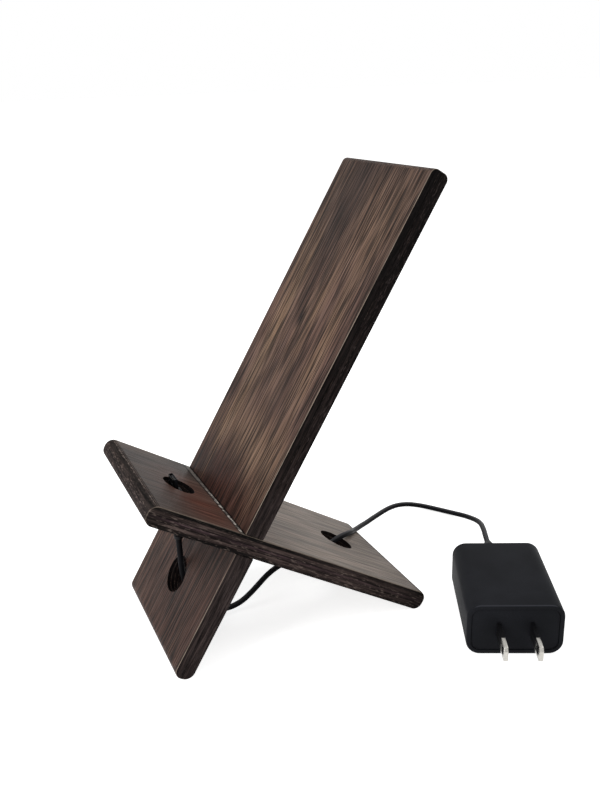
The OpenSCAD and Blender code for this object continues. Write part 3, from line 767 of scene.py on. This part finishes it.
backrestLook = {
    "broadStreak": ((8, 80, 8), 2, 4),
    # light and dark streaks: place across at the joint, drift, half width, strength
    "bands": ((-3, 0.09, 13, 0.1), (-19, -0.03, 6, 0.08), (-11, -0.01, 8, -0.06), (31, -0.02, 10, -0.07)),
    "veneer": ((0.3, "#46342d"), (0.45, "#533f36"), (0.58, "#5d483c"), (0.72, "#685241")),
    "fibreDark": 0.26,
    "fibreLight": 1.84,
    "poreColour": "#1d1615",
    "poreDepth": 0.42,
    "fleck": (1.24, 1.3, 1.38, 1),
    "patches": (
        (-14, 130, 26, 56, 0.85, "#2b221e"),  # darker towards the top
        (31, 122, 14, 44, 0.5, "#362a26"),
        (0, 154, 120, 90, 0.8, "#352924"),
        (0, 50, 60, 20, 0.4, "#4b3c34"),
        (16, 124, 26, 34, 0.5, "#695344"),
        (8, 23, 60, 22, 0.85, "#7b6350"),  # a paler band
        (-4, 3, 42, 28, 1, "#34140f"),  # red stain with painted reflection between the boards at the joint
        # painted shade, greyish, at the far end of the joint
        (-27, 4, 16, 24, 0.9, "#1f1b1b"),
        (0, -40, 200, 120, 0.95, "#32211b"),  # below the joint
        # painted shade in the corner under the shelf
        (0, -12, 70, 18, 0.65, "#1f1614"),
        (-4, 79.8, 4, 7, 1, "#191211"),  # knot
    ),
    "edge": ((0.0, "#1c1716"), (0.1, "#0b0909"), (0.2, "#362c2a"), (0.31, "#2a2321"), (0.38, "#100d0d"),
             (0.47, "#191413"), (0.53, "#3b312f"), (0.63, "#322927"), (0.69, "#151111"), (0.8, "#352c2a"),
             (0.92, "#282120"), (1.0, "#0c0a0a")),
    "edgePatches": (
        (0, 170, 300, 300, 0.95, "#0a0808"),
        (34, -20, 30, 60, 0.35, "#4b4140"),
        (0, -35, 20, 20, 1, "#0c0809"),  # inside the hole
    ),
    "rub": 0.42,
    "rubFrom": 0.4,
    "rubColour": "#554a48",
    "arrisWear": 0.7,
    "arrisColour": "#a89889",
    # the joint: place along the board in mm, colour, and whether it covers the veneer; here a dark band of
    # stain and painted shadow along the gap
    "seam": ((-0.9, "#231917", 0), (-0.7, "#231917", 1), (0.3, "#1b1312", 1), (0.8, "#1b1312", 0)),
    "seamSpots": 0,
    "seamFar": 1,
    "stripFleckColour": "#efe7dc",
    "faceFrom": 0.6,
    "torn": 0.1,
    "rimWear": 0.15,
    "rimColour": "#8a7d75",
    "faceRoughness": 0.45,
    "gloss": 0.06,
}
shelfLook = dict(backrestLook, **{
    "broadStreak": ((5, 80, 5), 2, 23),
    "bands": (),
    "veneer": ((0.34, "#3b322f"), (0.45, "#483f3a"), (0.57, "#564942"), (0.7, "#6a5b51")),
    "fibreDark": 0.68,
    "fibreLight": 1.32,
    "poreDepth": 0.2,
    "fleck": (1.25, 1.29, 1.34, 1),
    "patches": (
        (12, -8, 50, 30, 1, "#4a1c11"),  # red stain with painted reflection of the backrest, in front of the joint round the plug
        # its paler middle, the same stain and painted reflection
        (14, -11, 22, 14, 0.3, "#6a3220"),
        # painted shade at the far end of the joint
        (-28, -4, 22, 16, 0.85, "#262120"),
        (20, -42, 80, 32, 0.75, "#332824"),
        (0, 58, 150, 100, 0.66, "#897d72"),  # paler and greyer behind the joint: a painted sheen
        (0, 96, 150, 44, 0.5, "#61564d"),
    ),
    "edge": ((0.0, "#3a302e"), (0.05, "#080606"), (0.19, "#0a0808"), (0.24, "#463a37"), (0.38, "#3a302e"),
             (0.43, "#100c0c"), (0.48, "#46373a"), (0.6, "#2d2423"), (0.65, "#120e0e"), (0.7, "#4e413e"),
             (0.83, "#342b29"), (0.9, "#0e0b0b")),
    "edgePatches": (
        (0, -40, 300, 16, 0.85, "#241f1d"),
        (34, 58, 300, 60, 0.5, "#3b312f"),
        (34, 93, 30, 46, 0.6, "#171312"),
        (0, -16.9, 20, 20, 1, "#0c0909"),  # inside the holes
        (0, 63, 22, 22, 1, "#120d0c"),
    ),
    "rub": 0.55,
    "rubFrom": 0.18,
    "rubColour": "#7b6c65",
    "arrisWear": 0.4,
    # the dark band at the gap is painted shadow; a thin dark line runs before the pale strip
    "seam": ((-2.2, "#171211", 0), (-2, "#171211", 1), (-1.6, "#171211", 1), (-1.45, "#5f5b57", 1),
             (-0.3, "#67625d", 1), (-0.15, "#0d0a0a", 1), (0.5, "#0d0a0a", 1), (0.8, "#0d0a0a", 0)),
    "seamSpots": 0.95,
    "seamFar": 0.6,
    "faceFrom": 0.86,
    "torn": 0.35,
    "rimWear": 0.55,
})
shelfWood = stainedPlywood("walnutStainedPlywoodShelf", shelfTurn, shelfLook)
backrestWood = stainedPlywood("walnutStainedPlywoodBackrest", backrestTurn, backrestLook)


def simpleFinish(name, look):  # two tones in patches of a real grain size, with matching roughness and bump
    mat, add = newMaterial(name)
    objectPlace = add("TexCoord", out="Object")
    grains = look["grain"], look["grain"], look.get("grainUp", look["grain"])
    fine = add("Mapping", {"Vector": objectPlace, "Scale": [1 / (s * mm) for s in grains]})
    fine = add("TexNoise", {"Vector": fine, "Scale": 1, "Detail": 3, "Roughness": 0.6})
    wide = add("Mapping", {"Vector": objectPlace, "Scale": [1 / (look["patch"] * mm)] * 3})
    wide = add("TexNoise", {"Vector": wide, "Scale": 1, "Detail": 2})
    share = add("Math", [fine, wide], operation="MULTIPLY")
    share = add("MapRange", [share, 0.15, 0.38])
    tone = add("Mix", {0: share, 6: fromHex(look["dark"]), 7: fromHex(look["light"])}, 2, data_type="RGBA")
    if "paintedHighlight" in look:  # a painted highlight: what faces one way is drawn paler
        colour, way, low, high = look["paintedHighlight"]
        surface = add("NewGeometry", out="Normal")
        facing = add("VectorMath", [surface, Vector(way).normalized()], 1, operation="DOT_PRODUCT")
        share = add("MapRange", [facing, low, high])
        tone = add("Mix", {0: share, 6: tone, 7: fromHex(colour)}, 2, data_type="RGBA")
    rough = add("MapRange", [fine, 0.3, 0.7, *look["rough"]])
    bump = add("Bump", {"Strength": look["bump"], "Distance": min(grains) * 0.15 * mm, "Height": fine})
    inputs = {"Base Color": tone, "Roughness": rough, "Normal": bump}
    if "ior" in look:
        inputs.update({"IOR": look["ior"], "Specular IOR Level": look.get("gloss", 0.5)})
    else:  # a metal
        inputs["Metallic"] = 1
    add("OutputMaterial", [add("BsdfPrincipled", inputs)])
    return mat


# grain and patch in mm, grainUp along Z where it is drawn out, rough from dark to light
finishes = {
    # thermoplastic elastomer jacket, extruded: soft satin black, with a painted highlight on top
    "elastomerCordJacket": {
        "dark": "#111113", "light": "#18181b", "grain": 0.5, "patch": 9, "rough": (0.5, 0.62),
        "bump": 0.15, "ior": 1.5, "gloss": 0.04, "paintedHighlight": ("#4a4a4c", (0, 0, 1), 0.55, 1)},
    # moulded PVC of the plug and the strain reliefs: dull black
    "mouldedPvcBlack": {
        "dark": "#0d0d0f", "light": "#151518", "grain": 0.4, "patch": 6, "rough": (0.5, 0.65),
        "bump": 0.25, "ior": 1.53, "gloss": 0.15},
    # polycarbonate case out of a spark-eroded mould: matt, slightly bluish black, with a painted highlight
    # along the top front edge by the blades
    "polycarbonateCase": {
        "dark": "#1a1b1e", "light": "#212226", "grain": 0.45, "patch": 14, "rough": (0.5, 0.62),
        "bump": 0.35, "ior": 1.58, "gloss": 0.03, "paintedHighlight": ("#34353a", (0.891, -0.454, 1), 0.92, 0.97)},
    # stamped steel under black nickel plate: a dark mirror with fine drawing lines
    "blackNickelSteel": {
        "dark": "#0e0e10", "light": "#1d1d20", "grain": 0.3, "grainUp": 2.5, "patch": 3,
        "rough": (0.35, 0.5), "bump": 0.1},
    # gold flash on the contacts: clear yellow and nearly a mirror
    "goldFlashContact": {
        "dark": "#c79a3e", "light": "#e0bb62", "grain": 0.3, "grainUp": 1.5, "patch": 2,
        "rough": (0.2, 0.3), "bump": 0.05},
    # phosphor bronze strip, rolled and bent: warm brown metal with rolling lines
    "springBronze": {
        "dark": "#a5793c", "light": "#c39a58", "grain": 0.4, "grainUp": 2, "patch": 3,
        "rough": (0.28, 0.42), "bump": 0.1},
    # glass epoxy laminate under solder mask: glossy green, a little cloudy
    "glassEpoxyLaminate": {
        "dark": "#2c5a2c", "light": "#3f7a3a", "grain": 0.8, "patch": 5, "rough": (0.3, 0.45),
        "bump": 0.2, "ior": 1.5},
    # sintered ferrite, ground: dark grey like slate, finely pitted
    "sinteredFerrite": {
        "dark": "#2e2e31", "light": "#47474b", "grain": 0.3, "patch": 2, "rough": (0.45, 0.65),
        "bump": 0.3, "ior": 2.0},
    # cement-like flameproof coat: chalky grey green
    "flameproofResistorCoat": {
        "dark": "#5c7a72", "light": "#7d9c92", "grain": 0.4, "patch": 2, "rough": (0.6, 0.8),
        "bump": 0.3, "ior": 1.5},
    # transfer-moulded epoxy of chips, diodes and bobbin: dull black with a fine mould grain
    "mouldedEpoxyBlack": {
        "dark": "#18181a", "light": "#252528", "grain": 0.25, "patch": 2, "rough": (0.5, 0.65),
        "bump": 0.2, "ior": 1.55},
    # heat-shrunk PVC sleeve on the capacitor cans: glossy dark blue, drawn lengthwise
    "shrunkPvcSleeve": {
        "dark": "#1a2848", "light": "#27396a", "grain": 0.6, "grainUp": 3, "patch": 4,
        "rough": (0.22, 0.34), "bump": 0.1, "ior": 1.53},
    # polyester tape wound over the copper: glossy amber in narrow laps
    "polyesterWindingTape": {
        "dark": "#c09016", "light": "#ddb32e", "grain": 4, "grainUp": 0.5, "patch": 3,
        "rough": (0.28, 0.4), "bump": 0.35, "ior": 1.6},
    # white moulded epoxy of the coupler: dull off-white
    "whiteMouldedEpoxy": {
        "dark": "#ddd6c8", "light": "#efeadf", "grain": 0.3, "patch": 2, "rough": (0.5, 0.6),
        "bump": 0.15, "ior": 1.55},
    # dipped blue epoxy: wet gloss with slow waves
    "dippedBlueEpoxy": {
        "dark": "#245f9e", "light": "#3b80c4", "grain": 1.5, "patch": 3, "rough": (0.15, 0.25),
        "bump": 0.2, "ior": 1.55},
    # PVC insulation of the two inner wires: satin brick red
    "redWireInsulation": {
        "dark": "#8c2b25", "light": "#ad3c33", "grain": 0.4, "patch": 2, "rough": (0.35, 0.5),
        "bump": 0.1, "ior": 1.53},
}
made = {name: simpleFinish(name, look) for name, look in finishes.items()}


def paintedDarkBlade(name, look):
    # nickel-plated brass: bright grey metal at the tip with fine lines along it; the half next to the case
    # is painted black as a painted dark reflection, and painted shade lies in and round the hole
    mat, add = newMaterial(name)
    objectPlace = add("TexCoord", out="Object")
    onCase = add("Mapping", {"Vector": objectPlace, "Location": chargerFace,
                             "Rotation": (0, 0, chargerTurn), "Scale": (mm, mm, mm)}, vector_type="TEXTURE")
    run = add("SeparateXYZ", [onCase], 1)
    lines = add("Mapping", {"Vector": onCase, "Scale": (3, 0.4, 3)})
    lines = add("TexNoise", {"Vector": lines, "Scale": 1, "Detail": 3})
    paintedDark = add("MapRange", [run, -look["paintedDark"] - 0.1, -look["paintedDark"] + 0.1])
    toHole = add("VectorMath", [onCase, (0, charger["bladeHoleAt"], -outlet)], operation="ADD")
    toHole = add("VectorMath", [toHole, (0, 1, 1)], operation="MULTIPLY")
    toHole = add("VectorMath", [toHole], 1, operation="LENGTH")
    holeShade = add("MapRange", [toHole, *look["holeShade"], 1, 0])
    paintedDark = add("Math", [paintedDark, holeShade], operation="MAXIMUM")
    nickel = add("Mix", {0: lines, 6: fromHex(look["dark"]), 7: fromHex(look["light"])}, 2, data_type="RGBA")
    colour = add("Mix", {0: paintedDark, 6: nickel, 7: fromHex(look["paintedDarkColour"])}, 2, data_type="RGBA")
    metal = add("Math", [1, paintedDark], operation="SUBTRACT")
    rough = add("MapRange", [lines, 0.3, 0.7, 0.2, 0.36])
    rough = add("Math", [paintedDark, 0.3, rough], operation="MULTIPLY_ADD")
    bump = add("Bump", {"Strength": 0.15, "Distance": 0.05 * mm, "Height": lines})
    shader = add("BsdfPrincipled", {"Base Color": colour, "Metallic": metal, "Roughness": rough,
                                    "Normal": bump, "Specular IOR Level": 0.08})
    add("OutputMaterial", [shader])
    return mat


bladeFinish = paintedDarkBlade("nickelPlatedBrassBlade", {
    "dark": "#8f8d88", "light": "#cfccc6", "paintedDarkColour": "#0c0c0e",
    "paintedDark": 9.2,  # length of the painted dark reflection in mm
    "holeShade": (1.6, 1.9),  # radii of the painted shade round the hole in mm
})


def dress(piece, mat):
    piece.data.materials.clear()
    piece.data.materials.append(mat)


newPieces = [
    # piece, body, replaced node, slot, material
    (shelfBoard, "shelf", "shelf_board", "dark_wood", shelfWood),
    (backrestBoard, "backrest", "backrest_board", "dark_wood", backrestWood),
    (plugOvermould, "shelf", "plug_overmould", "black_moulding", made["mouldedPvcBlack"]),
    (plugShell, "shelf", "plug_shell", "plug_steel", made["blackNickelSteel"]),
    (chargerCase, "shelf", "charger_case", "case_plastic", made["polycarbonateCase"]),
    (chargerEndCap, "shelf", "charger_end_cap", "case_plastic", made["polycarbonateCase"]),
    (bladeLeft, "shelf", "blade_left", "blade_nickel", bladeFinish),
    (bladeRight, "shelf", "blade_right", "blade_nickel", bladeFinish),
    (chargerRelief, "shelf", "charger_strain_relief", "black_moulding", made["mouldedPvcBlack"]),
]
for piece, body, node, slot, mat in newPieces:
    dress(piece, mat)
    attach(piece, body)
    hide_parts(node)

keptNodes = {
    "plug_tongue": "mouldedEpoxyBlack",
    "plug_contacts": "goldFlashContact",
    "plug_latches": "blackNickelSteel",
    "blade_contact_left": "springBronze",
    "blade_contact_right": "springBronze",
    "circuit_board": "glassEpoxyLaminate",
    "input_choke": "sinteredFerrite",
    "fusible_resistor": "flameproofResistorCoat",
    "input_diodes": "mouldedEpoxyBlack",
    "input_capacitor_front": "shrunkPvcSleeve",
    "input_capacitor_rear": "shrunkPvcSleeve",
    "transformer_core": "sinteredFerrite",
    "transformer_bobbin": "mouldedEpoxyBlack",
    "transformer_winding": "polyesterWindingTape",
    "controller_chip": "mouldedEpoxyBlack",
    "optocoupler": "whiteMouldedEpoxy",
    "safety_capacitor": "dippedBlueEpoxy",
    "output_diode": "mouldedEpoxyBlack",
    "output_capacitor": "shrunkPvcSleeve",
    "output_wires": "redWireInsulation",
}
for node, name in keptNodes.items():
    dress(bpy.data.objects[node], made[name])

# the two cord stretches take their finish, stand in for the cord nodes and keep their place
for piece, node, start, end, bodies in (
        (cordFront, "cord_front", (0, -0.0405, 0.042), (0, -0.040, 0.028), ("shelf", "backrest")),
        (cordRear, "cord_rear", (0.0006, -0.0215, 0.0028), (-0.0018, 0.015, 0.0163), ("backrest", "shelf"))):
    dress(piece, made["elastomerCordJacket"])
    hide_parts(node)
    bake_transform(piece)


onCharger = [chargerCase, chargerEndCap, bladeLeft, bladeRight, chargerRelief]
onCharger += [bpy.data.objects[n] for n in keptNodes if not n.startswith("plug_")]
print("materials on, pieces ride on their bodies")

# studio: pale floor, white surround, two soft lamps; each lamp has its place, size in m and power in W
studio = {
    "floorSize": 60,
    "floorColour": "#e6e6e6",
    "floorLift": 0.78,
    "surroundLight": 0.5,
    "key": ((0.1, -0.85, 0.75), 0.7, 7.5),
    "fill": ((0.15, 0.75, 0.9), 0.8, 4),
    "aim": (0, 0.02, 0.07),
}


def seenRays(add):  # 1 for what the camera sees, also in gloss and through glass
    path = add("LightPath").node.outputs
    seen = add("Math", [path["Is Camera Ray"], path["Is Glossy Ray"]], operation="MAXIMUM")
    return add("Math", [seen, path["Is Transmission Ray"]], operation="MAXIMUM")


bpy.ops.mesh.primitive_plane_add(size=studio["floorSize"], location=(0, 0, 0))
floor = bpy.context.object
floor.name = "floor"
mat, add = newMaterial("paleStudioFloor")  # matt paper sweep: even and white to the camera, keeps the shadow
paper = add("BsdfPrincipled", {"Base Color": fromHex(studio["floorColour"]), "Roughness": 0.9,
                               "Specular IOR Level": 0.1})
lift = add("Math", [seenRays(add), studio["floorLift"]], operation="MULTIPLY")
glow = add("Emission", {"Strength": lift})
both = add("AddShader", [paper, glow])
add("OutputMaterial", [both])
floor.data.materials.append(mat)

world = bpy.data.worlds.new("studioSurround")
bpy.context.scene.world = world
world.use_nodes = True
world.node_tree.nodes.clear()
add = partial(addNode, world.node_tree)
dim = add("Background", {"Color": (1, 1, 1, 1), "Strength": studio["surroundLight"]})
white = add("Background", {"Color": (1, 1, 1, 1), "Strength": 1})
mixed = add("MixShader", [seenRays(add), dim, white])
add("OutputWorld", [mixed])
for name in ("key", "fill"):
    spot, size, energy = studio[name]
    aim = Vector(studio["aim"]) - Vector(spot)
    bpy.ops.object.light_add(type="AREA", location=spot, rotation=aim.to_track_quat("-Z", "Y").to_euler())
    lamp = bpy.context.object
    lamp.name = name + "Lamp"
    lamp.data.size = size
    lamp.data.energy = energy
print("studio lit")

endEdit()
bpy.context.view_layer.update()
